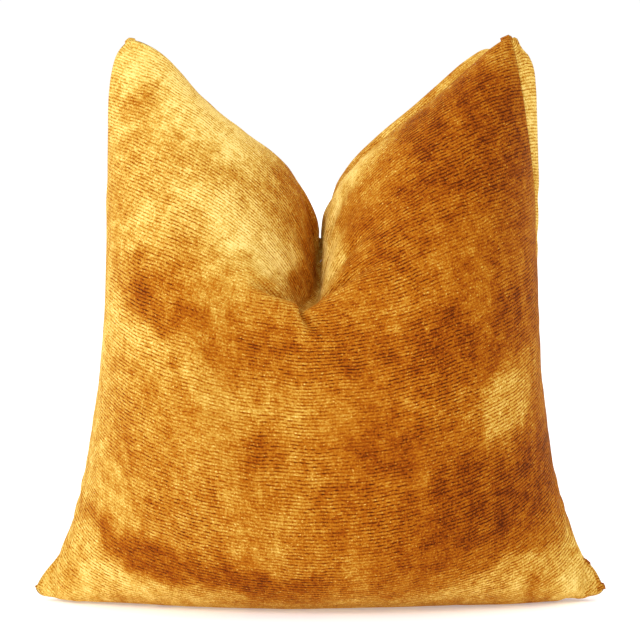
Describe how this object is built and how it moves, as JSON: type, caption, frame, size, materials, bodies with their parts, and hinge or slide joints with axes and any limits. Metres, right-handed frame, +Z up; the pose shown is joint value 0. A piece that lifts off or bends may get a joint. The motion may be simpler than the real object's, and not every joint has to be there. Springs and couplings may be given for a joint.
{
  "type": "throw pillow",
  "caption": "Square velvet throw pillow standing on its lower edge with its top chopped in, with a zipped removable cover over a down insert.",
  "frame": {"origin": "on the floor under the middle of the pillow, halfway between its two side corners and its front and back bellies", "axes": "+X to the right along the lower seam as seen from the front, +Y from the front to the back, +Z up"},
  "size_m": [0.486, 0.2362, 0.48],
  "materials": {
    "velvet": "short ribbed pile",
    "gold_thread": "matt",
    "zip_tape": "woven",
    "zip_coil": "satin nylon",
    "zip_metal": "plated, satin",
    "cotton": "matt cambric",
    "white_thread": "matt",
    "down": "loose down"
  },
  "bodies": {
    "pillow": {"front_panel": "velvet", "back_panel": "velvet", "seam_stitches_left": "gold_thread", "seam_stitches_right": "gold_thread", "seam_stitches_top_left": "gold_thread", "seam_stitches_top_right": "gold_thread", "seam_stitches_lower_corners": "gold_thread", "overlock_left": "gold_thread", "overlock_right": "gold_thread", "overlock_top_left": "gold_thread", "overlock_top_right": "gold_thread", "zip_tape_front": "zip_tape", "zip_tape_back": "zip_tape", "zip_coil_front": "zip_coil", "zip_coil_back": "zip_coil", "zip_stitches_front": "gold_thread", "zip_stitches_back": "gold_thread", "zip_bar_tacks": "gold_thread", "zip_top_stop_front": "zip_metal", "zip_top_stop_back": "zip_metal", "zip_bottom_stop": "zip_metal", "insert_shell_front": "cotton", "insert_shell_back": "cotton", "insert_seam_stitches": "white_thread", "insert_closing_stitches": "white_thread", "insert_filling": "down"},
    "slider": {"zip_slider": "zip_metal"},
    "pull": {"zip_pull": "zip_metal", "zip_pull_pin": "zip_metal"}
  },
  "joints": [
    {"name": "zip_slide", "type": "slide", "parent": "pillow", "child": "slider", "axis": [-1, 0, 0], "range_m": [0, 0.353], "deforming": ["zip_coil_front", "zip_coil_back"]},
    {"name": "pull_swing", "type": "hinge", "parent": "slider", "child": "pull", "pos_m": [0.1816, 0, 0.0023], "axis": [0, -1, 0], "range_deg": [0, 170]}
  ]
}
